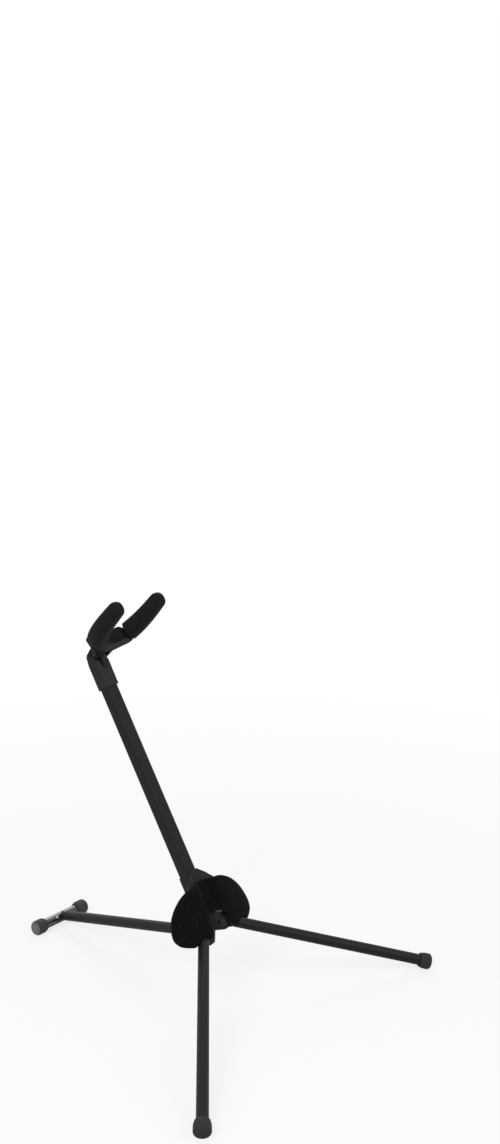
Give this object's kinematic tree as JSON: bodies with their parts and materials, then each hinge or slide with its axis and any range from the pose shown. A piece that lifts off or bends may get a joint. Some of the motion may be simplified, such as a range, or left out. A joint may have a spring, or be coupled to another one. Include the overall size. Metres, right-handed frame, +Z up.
{
  "type": "saxophone stand",
  "caption": "Folding tripod stand with a T-shaped front foot, padded saddle low on its hub, slanted square arm and padded fork that holds a saxophone by bow and bell.",
  "frame": {"origin": "centre of the footprint, on the floor", "axes": "+Z up; +X from the T foot to the two single feet, the way the saddle and the fork face; the stand is even about the XZ plane"},
  "size_m": [0.421, 0.401, 0.4298],
  "materials": {
    "moulded_black": "moulded glass-filled nylon, fine spark texture",
    "black_enamel": "satin black powder coat",
    "slate_enamel": "satin slate grey powder coat",
    "velvet_black": "matte velvet flock over foam",
    "foam_black": "fine closed-cell foam sleeve",
    "foot_rubber": "matte moulded rubber",
    "gloss_bar": "gloss black enamel",
    "black_steel": "black oxide steel"
  },
  "bodies": {
    "frame": {"hub_body": "moulded_black", "arm_plug": "moulded_black", "arm_tube": "black_enamel", "saddle_shell": "moulded_black", "saddle_pad": "velvet_black", "saddle_lower_screw": "black_steel", "saddle_upper_screw": "black_steel", "yoke_sleeve": "moulded_black", "yoke_pivot_pin": "black_steel", "yoke_pivot_nut": "black_steel", "t_leg_pivot_pin": "black_steel", "t_leg_pivot_nut": "black_steel", "near_leg_pivot_pin": "black_steel", "near_leg_pivot_nut": "black_steel", "far_leg_pivot_pin": "black_steel", "far_leg_pivot_nut": "black_steel"},
    "t_leg": {"t_leg_knuckle": "moulded_black", "t_leg_tube": "slate_enamel", "t_leg_end_plug": "moulded_black", "t_foot_screw": "black_steel", "t_foot_bar": "gloss_bar", "t_foot_near_cap": "foot_rubber", "t_foot_far_cap": "foot_rubber"},
    "near_leg": {"near_leg_knuckle": "moulded_black", "near_leg_tube": "black_enamel", "near_leg_foot_cap": "foot_rubber"},
    "far_leg": {"far_leg_knuckle": "moulded_black", "far_leg_tube": "black_enamel", "far_leg_foot_cap": "foot_rubber"},
    "yoke": {"yoke_fork": "moulded_black", "near_prong_pad": "foam_black", "far_prong_pad": "foam_black"}
  },
  "joints": [
    {"name": "t_leg_fold", "type": "hinge", "parent": "frame", "child": "t_leg", "pos_m": [0.01501, 0, 0.0621], "axis": [0, -1, 0], "range_deg": [0, 76]},
    {"name": "near_leg_fold", "type": "hinge", "parent": "frame", "child": "near_leg", "pos_m": [0.04813, -0.01509, 0.0807], "axis": [0.7547, 0.6561, 0], "range_deg": [0, 72]},
    {"name": "far_leg_fold", "type": "hinge", "parent": "frame", "child": "far_leg", "pos_m": [0.04813, 0.01509, 0.0807], "axis": [-0.7547, 0.6561, 0], "range_deg": [0, 72]},
    {"name": "yoke_fold", "type": "hinge", "parent": "frame", "child": "yoke", "pos_m": [-0.1193, 0, 0.35936], "axis": [0, 1, 0], "range_deg": [0, 50]}
  ]
}
